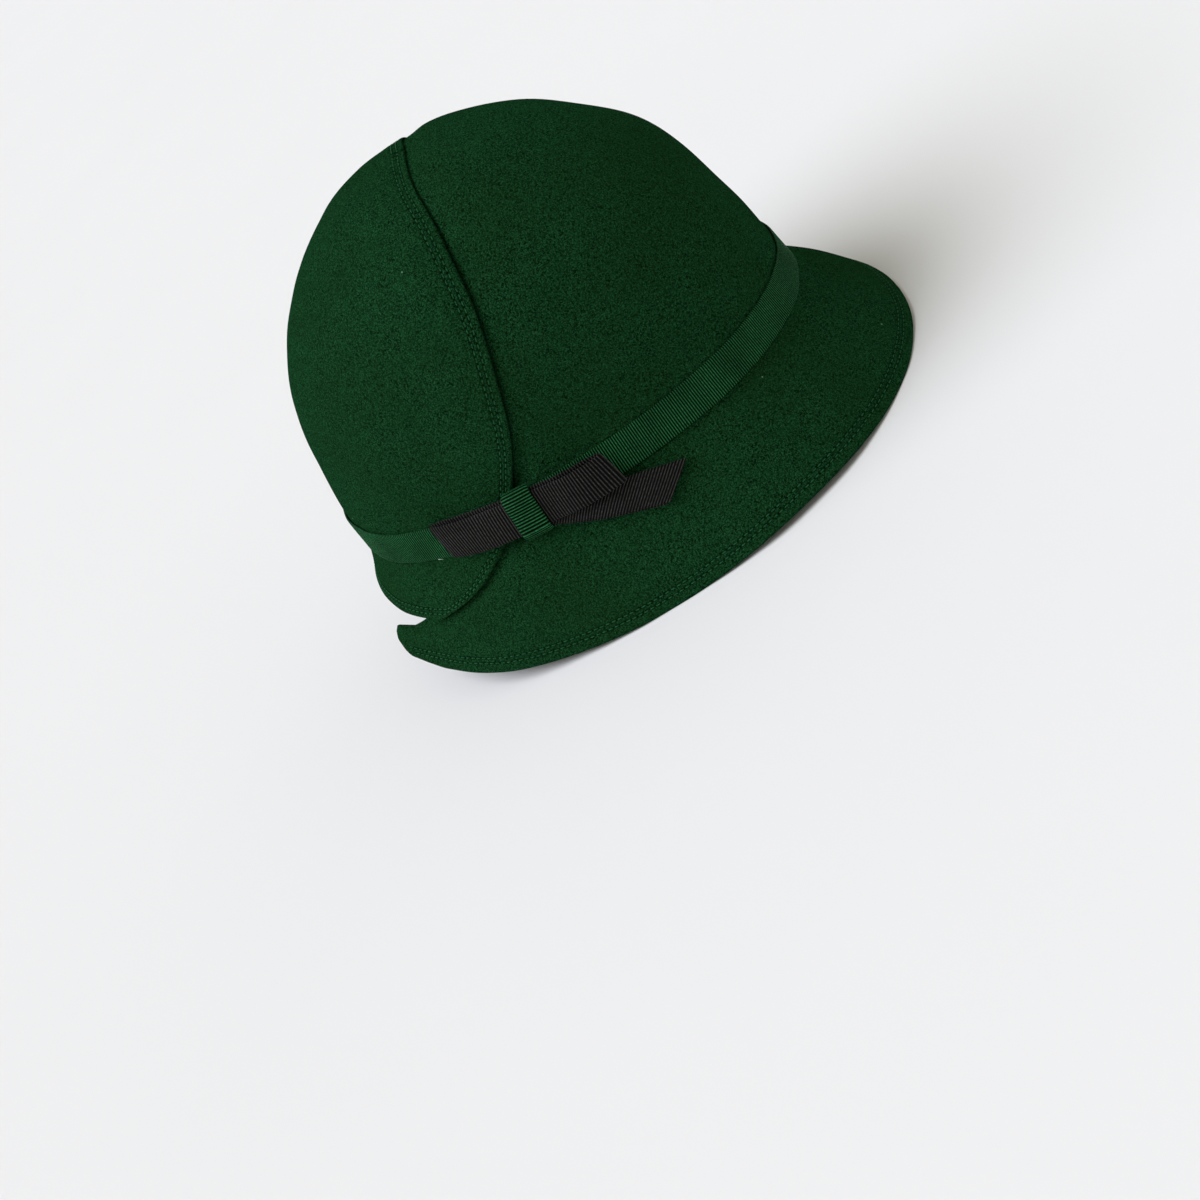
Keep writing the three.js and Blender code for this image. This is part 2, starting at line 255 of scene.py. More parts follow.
def behind_edge(angle, s):
    """How far a place lies inside the back panel's edge (negative: outside it)."""
    turned = np.minimum(np.abs(angle), 360 - np.abs(angle))
    turned, s = np.broadcast_arrays(turned, s)
    side = np.where(s <= 1, crown_row(np.minimum(s, 1))[..., SEAM], np.interp(s - 1, *TAB_SIDE.T))
    behind = plain_point(turned, s)[..., 1] - plain_point(side, s)[..., 1]
    hem = (1 + TAB_HEM - s) * brim_row(turned)[..., 0]
    return np.where(s > 1, np.minimum(behind, hem), behind)


def pressed(z):
    """From 0 on the crown's sides to 1 over its top."""
    return smooth((z - PRESSED_FROM) / PRESSED_OVER)


def raised(z):
    return np.clip((z - RAISED_FROM) / RAISED_OVER, 0, 1) * (1 - 0.5 * pressed(z))


def valley(behind, z):
    over_top = 1 - 0.55 * pressed(z)
    return VALLEY * np.exp(-((behind / VALLEY_WIDTH) ** 2)) * np.clip((z - 60) / 50, 0, 1) * over_top


def skived(behind, z):
    """Share of the felt's thickness left at the seam: over the top both panels are thinned to lie flat."""
    return 1 - 0.55 * pressed(z) * (1 - smooth((np.abs(behind) - 9) / 12))


def front_lift(angle, s, behind, z):
    faded = smooth((behind + FRONT_FADE_CLEAR) / FRONT_FADE_OVER + 1)
    sink = STEP * skived(behind, z) * (1 - raised(z)) * faded
    flick = np.where(s > 1, TAIL_FLICK * smooth((np.abs(angle) - FLICK_FROM) / FLICK_OVER), 0)
    return flick - sink - valley(behind, z)


def back_lift(angle, s, behind, z):
    rise = STEP * skived(behind, z) * raised(z) * (1 - smooth((behind - BACK_FADE_FROM) / BACK_FADE_OVER))
    return rise - valley(behind, z)


def angle_behind(s, distance):
    """The angle where a place is that far behind the seam; 180 if the section doesn't reach that far."""
    angles = np.linspace(60, 180, 721)
    reached = behind_seam(angles, np.full_like(angles, s))
    return float(np.interp(distance, reached, angles, right=180))


# ---- meshes ----

def mesh_object(name, points, faces, uv=None, materials=()):
    """A smooth-shaded mesh of closed surfaces. points are in metres, uv in millimetres per point."""
    mesh = bpy.data.meshes.new(name)
    mesh.from_pydata(points.tolist(), [], faces)
    mesh.polygons.foreach_set("use_smooth", np.ones(len(mesh.polygons), bool))
    if uv is not None:
        layer = mesh.uv_layers.new(name="run")
        corner = np.zeros(len(mesh.loops), np.int32)
        mesh.loops.foreach_get("vertex_index", corner)
        layer.data.foreach_set("uv", uv[corner].astype(np.float32).ravel())
    mesh.update()
    obj = bpy.data.objects.new(name, mesh)
    bpy.context.scene.collection.objects.link(obj)
    for material in materials:
        mesh.materials.append(material)
    return obj


def closed_grid(name, outer, inner, uv, material, around=False):
    """A closed solid from its outer and inner faces, which meet along the grid's border.

    around joins the last column to the first."""
    rows, columns = outer.shape[:2]
    points = np.concatenate([outer.reshape(-1, 3), inner.reshape(-1, 3)])
    keys = np.round(points / 0.002).astype(np.int64)
    _, first, same = np.unique(keys, axis=0, return_index=True, return_inverse=True)
    same = same.ravel()
    index = np.arange(rows * columns).reshape(rows, columns)
    if around:
        index = np.concatenate([index, index[:, :1]], 1)
    quads = np.stack([index[:-1, :-1], index[1:, :-1], index[1:, 1:], index[:-1, 1:]], -1).reshape(-1, 4)
    quads = np.concatenate([quads, quads[:, ::-1] + rows * columns])
    faces, seen = [], {}
    for quad in same[quads].tolist():
        face = [v for k, v in enumerate(quad) if v != quad[k - 1]]
        if len(set(face)) < 3:
            continue
        seen.setdefault(frozenset(face), []).append(len(faces))
        faces.append(face)
    doubled = {i for places in seen.values() if len(places) > 1 for i in places}
    faces = [face for i, face in enumerate(faces) if i not in doubled]
    both = np.concatenate([uv.reshape(-1, 2), uv.reshape(-1, 2)])
    return mesh_object(name, standing(points[first]), faces, both[first], [material])


def edge_spacing(length, near, middle):
    """Distances in from an edge: the near ones, then evenly to the length."""
    shrink = min(1.0, length / (2 * near[-1]))
    close = near * shrink
    return np.concatenate([close, np.linspace(close[-1], length, middle + 1)[1:]])


def rounded(distance):
    """Half the felt's thickness at a distance in from its edge."""
    radius = FELT / 2
    return np.sqrt(np.maximum(radius ** 2 - (radius - np.clip(distance, 0, radius)) ** 2, 0))


def grooves(distance, rows):
    """Depth of the stitched grooves at a distance in from an edge."""
    return sum(GROOVE_DEPTH * np.exp(-(((distance - row) / GROOVE_WIDTH) ** 2)) for row in rows)


def to_row(distance, rows):
    """Distance from the nearest stitch row."""
    return np.min([np.abs(distance - row) for row in rows], axis=0)


def to_band_shadow(angle, s):
    """Distance from the painted shadow line that the felt gets under the band's lower edge."""
    below = (s - 1) * brim_row(angle)[..., 0]
    return np.abs(below - 0.15) * 1.1


BELOW_BAND = [1.006, 1.016, 1.03]
ROUND_EDGE = [0, 0.025, 0.1, 0.22, 0.4, 0.65, 1.0]
SEWN_EDGE = np.array(ROUND_EDGE + [1.5] + list(np.arange(1.9, 8.7, 0.36)) + [9.4, 10.4])
HIDDEN_EDGE = np.array(ROUND_EDGE + [2.2, 4.0, 6.0, 7.0, 7.7, 8.3, 8.8, 9.3, 9.9, 10.8])


def half_columns(s, middle_angle, half, near, middle):
    """Angles off the middle angle, from the edge to the middle, spaced by true length."""
    off = half * (1 - np.linspace(0, 1, 241))
    line = plain_point(middle_angle + off, np.full_like(off, s))
    run = run_along(line)
    return np.interp(edge_spacing(run[-1], near, middle), run, off)


def column_angles(rows, half, middle_angle, near, middle):
    """One row of angles for each place down the hat, from one edge to the other."""
    result = []
    for s in rows:
        place = max(s, 0.004)
        off = half_columns(place, middle_angle, half(s), near, middle)
        result.append(middle_angle + np.concatenate([-off, off[::-1][1:]]))
    return np.array(result)


def front_half(s):
    if s > 1:
        return float(np.interp(s - 1, *BRIM_END.T))
    return angle_behind(s, LAP)


def back_half(s):
    if s > 1:
        return 180 - float(np.interp(s - 1, *TAB_SIDE.T))
    return 180 - float(crown_row(s)[SEAM])


def crown_rows(count, extra=()):
    return sorted(set(np.round(np.linspace(0, 1, count + 1), 6)) | set(extra))


def lap_start():
    """The place down the crown where the front panel's straight back edge starts."""
    places = np.linspace(0.01, 0.3, 400)
    return float(np.interp(LAP, behind_seam(np.full_like(places, 180), places), places))


def front_panel(material):
    start = lap_start()
    brim = 2 - edge_spacing(USUAL_WIDTH, SEWN_EDGE, 17) / USUAL_WIDTH
    rows = np.array(crown_rows(76, [start]) + BELOW_BAND + sorted(brim[brim > 1.035]))

    def half(s):
        return 180.0 if s <= start + CLOSE else front_half(s)

    angles = column_angles(rows, half, 0.0, HIDDEN_EDGE, 138)
    places = np.broadcast_to(rows[:, None], angles.shape)
    point, normal = skin(angles, places)
    behind = behind_edge(angles, places)
    brim_width = brim_row(angles)[..., 0]
    to_edge = (2 - places) * brim_width
    side = np.zeros_like(angles)
    for i, s in enumerate(rows):
        if s <= 1:
            side[i] = LAP - behind_seam(angles[i], np.full_like(angles[i], s))
        else:
            run = run_along(point[i])
            side[i] = np.minimum(run, run[-1] - run)
    side[:, [0, -1]] = np.where(rows[:, None] >= start - CLOSE, 0, side[:, [0, -1]])
    z = plain_point(angles, places)[..., 2]
    thin = skived(behind, z)
    thick = rounded(np.minimum(to_edge, np.maximum(side, 0))) * thin
    lift = front_lift(angles, places, behind, z)
    groove = grooves(to_edge, BRIM_ROWS) * smooth(side / 6)
    run_round = np.radians(angles) * USUAL_RADIUS
    ripple = np.sin(run_round * 2 * math.pi / 7.9 + np.sin(run_round / 17))
    pucker = 0.13 * ripple * np.exp(-((to_edge - 6) / 3) ** 2)
    crease = np.exp(-(((behind + 0.7) / CREASE_WIDTH) ** 2)) * (1 - pressed(z))
    lift = lift - FELT / 2 * thin + pucker - CREASE_DEPTH * crease
    outer = point + normal * (lift + thick - groove)[..., None]
    inner = point + normal * (lift - thick + groove * 0.6)[..., None]
    # the uv's second coordinate is the distance to painted shade on the felt: the stitch rows' grooves, the
    # crease under the back panel's edge and the band's lower edge
    row = to_row(to_edge, BRIM_ROWS) + 9 * smooth(1 - side / 6)
    row = np.minimum(row, np.abs(behind + 0.4) * 0.9)
    uv = np.stack([run_round, np.minimum(row, to_band_shadow(angles, places))], -1)
    return closed_grid("felt_front", outer, inner, uv, material)


def back_panel(material):
    width = USUAL_WIDTH * TAB_HEM
    tab = 1 + TAB_HEM - edge_spacing(width, SEWN_EDGE * 0.98, 7) / USUAL_WIDTH
    rows = np.array(crown_rows(76) + BELOW_BAND + sorted(tab[tab > 1.035]))
    angles = column_angles(rows, back_half, 180.0, SEWN_EDGE, 84)
    places = np.broadcast_to(rows[:, None], angles.shape)
    point, normal = skin(angles, places)
    behind = behind_edge(angles, places)
    behind[:, [0, -1]] = 0
    behind[0] = 0
    behind[-1] = 0
    z = plain_point(angles, places)[..., 2]
    thin = skived(behind, z)
    thick = rounded(behind) * thin
    run_down = z * 1.1
    pucker = 0.12 * np.sin(run_down * 2 * math.pi / 8.3 + 1) * np.exp(-((behind - 5) / 3) ** 2)
    lift = back_lift(angles, places, behind, z) - FELT / 2 * thin + pucker
    groove = grooves(behind, BACK_ROWS)
    outer = point + normal * (lift + thick - groove)[..., None]
    inner = point + normal * (lift - thick)[..., None]
    # the uv's second coordinate is the distance to painted shade on the felt: the stitch rows' grooves and
    # the band's lower edge
    row = np.minimum(to_row(behind, BACK_ROWS), to_band_shadow(angles, places))
    uv = np.stack([run_down, row], -1)
    return closed_grid("felt_back", outer, inner, uv, material)


# ---- stitches ----

def stitch_points(line):
    """The start, middle and end of each stitch along a line of points."""
    run = run_along(line)
    length = STITCH_LENGTH
    starts = np.arange(0.5 * (STITCH_PITCH - length), run[-1] - length, STITCH_PITCH)

    def point_at(distance):
        return np.array([np.interp(distance, run, line[:, k]) for k in range(3)])

    return [[point_at(a), point_at(a + length / 2), point_at(a + length)] for a in starts]


def thread_mesh(name, stitches, radius, material):
    """Short plump threads; each stitch is its start, middle and end and the direction out of the felt."""
    sides = 8
    shares = np.array([0, 0.06, 0.2, 0.5, 0.8, 0.94, 1])
    girth = np.array([0.0, 0.62, 0.95, 1.05, 0.95, 0.62, 0.0])
    height = np.array([-0.55, -0.35, 0.0, 0.22, 0.0, -0.35, -0.55])
    turn = np.linspace(0, 2 * math.pi, sides, endpoint=False)
    points, faces, uv = [], [], []
    for (start, middle, end), out in stitches:
        axis = (end - start) / np.linalg.norm(end - start)
        aside = np.cross(axis, out)
        aside /= np.linalg.norm(aside)
        up = np.cross(aside, axis)
        base = len(points)
        for share, wide, high in zip(shares, girth, height):
            bend = 1 - (2 * share - 1) ** 2
            centre = start + (end - start) * share + (middle - (start + end) / 2) * bend + up * high * radius
            if wide == 0:
                points.append(centre)
                uv.append((share * 2, 0))
                continue
            for t in turn:
                points.append(centre + radius * wide * (aside * math.cos(t) + up * math.sin(t)))
                uv.append((share * 2, t))
        rings = len(shares) - 2
        first = base + 1
        last = base + 1 + rings * sides
        for k in range(sides):
            n = (k + 1) % sides
            faces.append([base, first + n, first + k])
            for r in range(rings - 1):
                a = first + r * sides
                faces.append([a + k, a + n, a + sides + n, a + sides + k])
            a = first + (rings - 1) * sides
            faces.append([a + k, a + n, last])
    return mesh_object(name, standing(np.array(points)), faces, np.array(uv), [material])


def lifted(angle, s, lift_of, extra):
    """Points at a height over a panel's outer face, and the directions out of it."""
    point, normal = skin(angle, s)
    behind = behind_edge(angle, s)
    z = plain_point(angle, s)[..., 2]
    return point + normal * (lift_of(angle, s, behind, z) + extra)[..., None], normal


def brim_row_places(distance):
    """Angles and places of a stitch row along the brim's edge, from tail to tail."""
    angles = np.linspace(-158, 158, 1500)
    s = 2 - distance / brim_row(angles)[..., 0]
    limit = np.interp(s - 1, *BRIM_END.T) - CLEAR_OF_TAILS
    keep = np.abs(angles) < limit
    return angles[keep], s[keep]


def back_row_places(distance):
    """Angles and places of a stitch row inside the back panel's edge, down one side from the top."""
    places = np.linspace(0.005, 1, 260)
    angles = np.array([angle_behind(s, distance) for s in places])
    keep = angles < 179.5
    crown = [(a, s) for a, s in zip(angles[keep], places[keep])]
    tab = []
    hem = 1 + TAB_HEM - distance / USUAL_WIDTH
    for s in np.linspace(1.01, hem, 40):
        side = float(np.interp(s - 1, *TAB_SIDE.T))
        fine = np.linspace(side, 180, 400)
        reached = plain_point(fine, np.full_like(fine, s))[:, 1]
        tab.append((float(np.interp(distance, reached - reached[0], fine)), s))
    corner = tab[-1][0]
    low = [(a, hem) for a in np.linspace(corner + 1, 180, 60)]
    line = np.array(crown + tab + low)
    return line[:, 0], line[:, 1]


def sewn_line(angles, s, lift_of):
    line, normal = lifted(angles, s, lift_of, STITCH_LIFT)
    result = []
    for trio in stitch_points(line):
        near = np.argmin(((line - trio[1]) ** 2).sum(1))
        result.append((trio, normal[near]))
    return result


def brim_threads(material):
    stitches = []
    for distance in BRIM_ROWS:
        angles, s = brim_row_places(distance)
        stitches += sewn_line(angles, s, front_lift)
    return thread_mesh("stitches_brim", stitches, STITCH_RADIUS, material)


def back_threads(material):
    stitches = []
    for distance in BACK_ROWS:
        angles, s = back_row_places(distance)
        for turned in (angles, 360 - angles):
            stitches += sewn_line(turned, s, back_lift)
    return thread_mesh("stitches_back", stitches, STITCH_RADIUS, material)


def tack_thread(material):
    """The small pale stitch that holds the band's lower edge near the back."""
    places = np.array([[129.2, -0.5], [129.9, 0.35], [130.7, 0.0]])
    trio = over_felt(places[:, 0], places[:, 1], np.array([0.7, 1.35, 0.8]))
    out = normal_at(places[1:2, 0], np.array([1.0]))[0]
    return thread_mesh("stitch_tack", [(list(trio), out)], 0.2, material)


# ---- ribbons ----

def over_felt(angle, rise, lift):
    """Points over the felt near the break: rise is up the crown or, if negative, down the brim."""
    crown_scale = (len(CROWN) - 1) * CROWN[-2, HEIGHT]
    s = np.where(rise > 0, 1 - rise / crown_scale, 1 - rise / brim_row(angle)[..., 0])
    point, normal = skin(angle, s)
    return point + normal * lift[..., None]


def rib_height(phase):
    """Rounded ribs with narrow valleys between them, from 0 to 1."""
    return np.abs(np.sin(math.pi * phase)) ** 0.75


def ribbon_sections(width, rows):
    """Distances across a ribbon, closer together at its edges."""
    inner = np.linspace(0.9, width - 0.9, rows)
    return np.concatenate([[0, 0.08, 0.3], inner, [width - 0.3, width - 0.08, width]])


def round_off(distance):
    """From 0 at a ribbon's edge to 1 where its rounding ends, along a quarter circle."""
    return np.sqrt(np.clip(1 - (1 - np.clip(distance / RIBBON_ROUND, 0, 1)) ** 2, 0, 1))


def ribbon_profile(across, width, thickness, height):
    """Half the ribbon's thickness and its ribs' height, across its width."""
    edge = np.minimum(across, width - across)
    return thickness / 2 * round_off(edge), height * smooth(edge / 0.9)


def ribbon_band(material):
    width, thickness, height = 14.4, 0.62, 0.26
    angles = np.linspace(0, 360, 4001)
    line = plain_point(angles, np.full_like(angles, 1 - 7 / 144))
    run = run_along(line)
    ribs = round(run[-1] / RIB_PITCH)
    columns = ribs * RIB_STEPS
    along = np.arange(columns) / columns * run[-1]
    angle = np.interp(along, run, angles)
    across = ribbon_sections(width, 5)
    body, ribbed = ribbon_profile(across, width, thickness, height)
    rib = rib_height(along / run[-1] * ribs)
    grid_angle = np.broadcast_to(angle, (len(across), columns))
    rise = np.broadcast_to(across[:, None], grid_angle.shape)
    middle = GAP + thickness / 2 + 0.12 * np.sin(np.radians(grid_angle) * 7 + 1) * (1 - rise / width)
    outer = over_felt(grid_angle, rise, middle + body[:, None] + ribbed[:, None] * rib)
    inner = over_felt(grid_angle, rise, middle - body[:, None])
    ribs_run = along / run[-1] * ribs * RIB_PITCH
    uv = np.stack([np.broadcast_to(ribs_run, grid_angle.shape), rise], -1)
    return closed_grid("band_grosgrain", outer[::-1], inner[::-1], uv[::-1], material, around=True)


def catmull(points, closed, per=40):
    """A smooth line through points, with evenly rounded turns."""
    points = np.array(points, float)
    if closed:
        around = np.vstack([points[-1], points, points[:2]])
    else:
        around = np.vstack([2 * points[0] - points[1], points, 2 * points[-1] - points[-2]])
    line = []
    for p0, p1, p2, p3 in zip(around, around[1:], around[2:], around[3:]):
        d0, d1, d2 = (max(np.linalg.norm(b - a) ** 0.5, 1e-4) for a, b in ((p0, p1), (p1, p2), (p2, p3)))
        t1 = ((p1 - p0) / d0 - (p2 - p0) / (d0 + d1) + (p2 - p1) / d1) * d1
        t2 = ((p2 - p1) / d1 - (p3 - p1) / (d1 + d2) + (p3 - p2) / d2) * d1
        f = np.linspace(0, 1, per, endpoint=False)[:, None]
        shape = p1 + t1 * f + (3 * p2 - 3 * p1 - 2 * t1 - t2) * f ** 2 + (2 * p1 - 2 * p2 + t1 + t2) * f ** 3
        line.append(shape)
    line = np.vstack(line)
    return line if closed else np.vstack([line, points[-1]])


def ribbon_strip(name, route, across, width, material, closed=False, cut=0,
                 height=0.2, pitch=RIB_PITCH, wave=0.0, bulge=0.0, gather=0.0, lean=0.0):
    """A strip of ribbed ribbon at the bow.

    route has the arc from the knot, the rise and the lift of its middle line; across is the direction of its
    width; cut slants its far end, wave bends its lower edge and gather is the share of its length over which
    it widens from its near end; lean slants the ends of a closed strip."""
    line = catmull(route, closed)
    if closed:
        line = np.vstack([line, line[:1]])
    run = run_along(line)
    ribs = max(2, round(run[-1] / pitch))
    count = ribs * RIB_STEPS
    along = np.arange(count if closed else count + 1) / count * run[-1]

    def line_at(distance):
        """Points of the middle line at distances along it, round again where it is closed."""
        within = distance % run[-1] if closed else np.clip(distance, 0, run[-1])
        return np.stack([np.interp(within, run, line[:, k]) for k in range(3)], -1)

    centre = line_at(along)
    reach = 0.35
    tangent = line_at(along + reach) - line_at(along - reach)
    tangent /= np.linalg.norm(tangent, axis=1, keepdims=True)
    across = np.array(across, float)
    out = np.cross(tangent, across)
    out /= np.linalg.norm(out, axis=1, keepdims=True)
    offset = ribbon_sections(width, 6)
    body, ribbed = ribbon_profile(offset, width, BOW_THICKNESS, height)
    rib = rib_height(along / run[-1] * ribs)
    v = offset / width - 0.5
    share = along / run[-1]
    open_share = smooth(0.12 + 0.88 * share / gather) if gather else np.ones_like(share)
    middle = centre[None] + across * (((v[:, None] + 0.5) * open_share - 0.5) * width)[..., None]
    middle = middle + tangent[None] * (v[:, None] * cut * share)[..., None]
    middle[..., 0] += lean * v[:, None] * smooth((np.abs(centre[:, 0]) - 14) / 16)
    scallop = 0.07 * (rib - 0.5) * np.sign(v)[:, None] * (np.abs(v)[:, None] > 0.45)
    middle = middle + across * scallop[..., None]
    lift = bulge * (1 - (2 * v[:, None]) ** 2) + wave * np.sin(share * 9 + 0.6) * (v[:, None] - 0.5) ** 2
    ends = 1.0 if closed else round_off(np.minimum(along, run[-1] - along))
    half = (body[:, None] + ribbed[:, None] * rib) * ends
    faces = []
    for side in (half, -half):
        place = middle + out[None] * (side + lift)[..., None]
        faces.append(over_felt(KNOT_ANGLE + place[..., 0] / ARC_PER_DEGREE, place[..., 1], place[..., 2]))
    uv = np.stack(np.broadcast_arrays(share[None] * ribs * RIB_PITCH, offset[:, None]), -1)
    return closed_grid(name, faces[0], faces[1], uv, material, around=closed)


def layer(count):
    return GAP + RIBBON / 2 + count * (RIBBON + GAP)


def bow_loops(material):
    drift = 0.05
    # arc from the knot, layer, how far the ribbon's middle sits above the bow's middle
    flat = [
        (0, 1.8, 0.9), (-7, 1.85, 1.0), (-14, 3.3, 1.0), (-28, 3.4, 0.7), (-30.6, 4.1, 0.3),
        (-28.3, 4.8, -0.1),
        (-17, 4.8, -0.4), (-7, 2.6, -0.3), (0, 2.4, 0), (7, 2.4, -0.3), (17, 2.3, -0.6), (30, 2.3, -0.5),
        (33.3, 1.75, 0), (30, 1.2, 0.5), (12, 1.3, 0.9),
    ]
    route = [(arc, BOW_RISE + drift * arc + rise, layer(count)) for arc, count, rise in flat]
    return ribbon_strip("loops_grosgrain", route, (0, 1, 0), 15, material,
                        closed=True, bulge=0.25, wave=0.25, lean=2.2)


def bow_tail(name, start, end, count, drop, material, wave):
    width = 13.5
    tilt = math.radians(25.5)
    route = [
        (-arc, BOW_RISE - drop - arc * math.tan(tilt), lift)
        for arc, lift in (
            (start, layer(0.6 * count - 0.3)), (10, layer(0.65 * count)),
            (16, layer(count)), (28, layer(count)),
            (end, layer(count - 1) + GAP / 2),
        )
    ]
    across = (-math.sin(tilt), math.cos(tilt), 0)
    return ribbon_strip(name, route, across, width, material, cut=5.5, wave=wave, gather=0.33)


def bow_knot(material):
    low, high, outer = -3.2, 16.3, layer(3.25)
    route = [
        (0, high, layer(0)), (0, high, layer(2)), (0, high - 2, outer), (0, (high + low) / 2, outer + 0.15),
        (0, low + 2, outer), (0, low, layer(2)), (0, low, layer(0)),
    ]
    return ribbon_strip("knot_grosgrain", route, (1, 0, 0), 10, material, height=0.3, bulge=0.15, pitch=1.2)


# ---- materials ----

class Nodes:
    """A material's nodes, made and linked in short calls."""

    def __init__(self, name):
        self.material = bpy.data.materials.new(name)
        self.material.use_nodes = True
        self.tree = self.material.node_tree
        self.tree.nodes.clear()
        self.shader = self.add("ShaderNodeBsdfPrincipled")
        output = self.add("ShaderNodeOutputMaterial")
        self.tree.links.new(self.shader.outputs[0], output.inputs[0])

    def add(self, kind, **settings):
        node = self.tree.nodes.new(kind)
        for key, value in settings.items():
            setattr(node, key, value)
        return node

    def set(self, node, values):
        for key, value in values.items():
            if isinstance(value, bpy.types.NodeSocket):
                self.tree.links.new(value, node.inputs[key])
            else:
                node.inputs[key].default_value = value
        return node

    def noise(self, where, scale, detail=2.0, roughness=0.5):
        node = self.add("ShaderNodeTexNoise")
        inputs = {"Vector": where, "Scale": scale, "Detail": detail, "Roughness": roughness}
        return self.set(node, inputs).outputs[0]

    def math(self, kind, a, b=0.0):
        node = self.add("ShaderNodeMath", operation=kind)
        return self.set(node, {0: a, 1: b}).outputs[0]

    def mix(self, share, a, b):
        node = self.add("ShaderNodeMix", data_type="RGBA")
        return self.set(node, {0: share, 6: a, 7: b}).outputs[2]

    def between(self, value, low, high, to_low=0.0, to_high=1.0):
        node = self.add("ShaderNodeMapRange")
        inputs = {0: value, 1: low, 2: high, 3: to_low, 4: to_high}
        return self.set(node, inputs).outputs[0]

    def bump(self, height, strength, distance, normal=None):
        node = self.add("ShaderNodeBump")
        self.set(node, {"Height": height, "Strength": strength, "Distance": distance})
        if normal is not None:
            self.tree.links.new(normal, node.inputs["Normal"])
        return node.outputs[0]


def colour(red, green, blue):
    return (red, green, blue, 1.0)


def felt_material():
    n = Nodes("felt_green")
    where = n.add("ShaderNodeTexCoord").outputs["Object"]
    run = n.add("ShaderNodeUVMap", uv_map="run").outputs[0]
    apart = n.add("ShaderNodeSeparateXYZ")
    n.set(apart, {0: run})
    fibre = n.noise(where, 1900, 2.0, 0.55)
    grain = n.noise(where, 1050, 2.0, 0.55)
    mottle = n.noise(where, 140, 3.0, 0.55)
    cloud = n.noise(where, 17, 2.0, 0.5)
    dark = colour(0.0008, 0.005, 0.001)
    middle = colour(0.0055, 0.031, 0.0085)
    bright = colour(0.020, 0.108, 0.041)
    base = n.mix(n.between(grain, 0.4, 0.57), dark, middle)
    base = n.mix(n.between(fibre, 0.47, 0.66, 0.0, 0.75), base, bright)
    base = n.mix(n.between(mottle, 0.35, 0.7, 0.0, 0.25), base, colour(0.0055, 0.043, 0.0135))
    base = n.mix(n.between(cloud, 0.42, 0.62, 0.0, 0.25), base, colour(0.006, 0.023, 0.0035))
    # painted shade: the felt is darkened in the stitch rows' grooves, along the crease under the back
    # panel's edge and under the band's lower edge
    painted_shade = n.between(apart.outputs[1], 0.15, 0.75, 0.75, 0.0)
    base = n.mix(painted_shade, base, colour(0.0006, 0.0055, 0.0018))
    specks = n.add("ShaderNodeTexVoronoi", feature="F1")
    n.set(specks, {"Vector": where, "Scale": 110})
    chance = n.add("ShaderNodeSeparateColor")
    n.set(chance, {0: specks.outputs["Color"]})
    rare = n.math("GREATER_THAN", chance.outputs[0], 0.88)
    near = n.between(specks.outputs["Distance"], 0.025, 0.05, 1.0, 0.0)
    base = n.mix(n.math("MULTIPLY", rare, near), base, colour(0.12, 0.26, 0.16))
    rough = n.between(grain, 0.3, 0.7, 0.86, 1.0)
    height = n.math("ADD", n.math("MULTIPLY", grain, 0.9), n.math("MULTIPLY", fibre, 0.5))
    fine = n.bump(height, 1.0, 0.0012)
    relief = n.bump(mottle, 0.4, 0.0012, fine)
    n.set(n.shader, {"Base Color": base, "Roughness": rough, "Normal": relief})
    n.set(n.shader, {"Specular IOR Level": 0.0, "Sheen Weight": 0.02, "Sheen Roughness": 0.45,
                     "Sheen Tint": colour(0.1, 0.55, 0.28)})
    return n.material


def ribbon_material(name, dark_and_valley_shade, rib_colour, painted_crest_highlight, specular, sheen, tint):
    n = Nodes(name)
    run = n.add("ShaderNodeUVMap", uv_map="run").outputs[0]
    where = n.add("ShaderNodeTexCoord").outputs["Object"]
    apart = n.add("ShaderNodeSeparateXYZ")
    n.set(apart, {0: run})
    wave = n.math("SINE", n.math("MULTIPLY", apart.outputs[0], math.pi / RIB_PITCH))
    rib = n.math("POWER", n.math("ABSOLUTE", wave), 0.9)
    stretched = n.add("ShaderNodeMapping")
    n.set(stretched, {"Vector": run, "Scale": (7.0, 1.1, 1.0)})
    thread = n.noise(stretched.outputs[0], 1.0, 3.0, 0.6)
    fleck = n.noise(where, 900, 2.0, 0.6)
    cloud = n.noise(where, 70, 2.0, 0.5)
    # painted shade: the valleys between the ribs are given a darker colour than the crests
    base = n.mix(n.between(rib, 0.5, 0.94), dark_and_valley_shade, rib_colour)
    # painted highlight: the tops of the crests are given a pale colour, broken by the thread noise
    crest_highlight_mask = n.math("MULTIPLY", n.between(rib, 0.82, 1.0), n.between(thread, 0.4, 0.66, 0.1, 1.0))
    base = n.mix(crest_highlight_mask, base, painted_crest_highlight)
    # darker patches at random, in the ribbon's own tone
    base = n.mix(n.between(cloud, 0.35, 0.7, 0.0, 0.3), base, dark_and_valley_shade)
    rough = n.between(fleck, 0.3, 0.7, 0.45, 0.68)
    cross = n.add("ShaderNodeMapping")
    n.set(cross, {"Vector": run, "Scale": (1.0, 6.5, 1.0)})
    weave = n.noise(cross.outputs[0], 1.0, 2.0, 0.5)
    height = n.math("ADD", n.math("MULTIPLY", thread, 0.6), n.math("MULTIPLY", weave, 0.5))
    n.set(n.shader, {"Base Color": base, "Roughness": rough, "Normal": n.bump(height, 0.5, 0.00018)})
    n.set(n.shader, {"Specular IOR Level": specular, "Sheen Weight": sheen, "Sheen Roughness": 0.35,
                     "Sheen Tint": tint, "Anisotropic": 0.3})
    return n.material


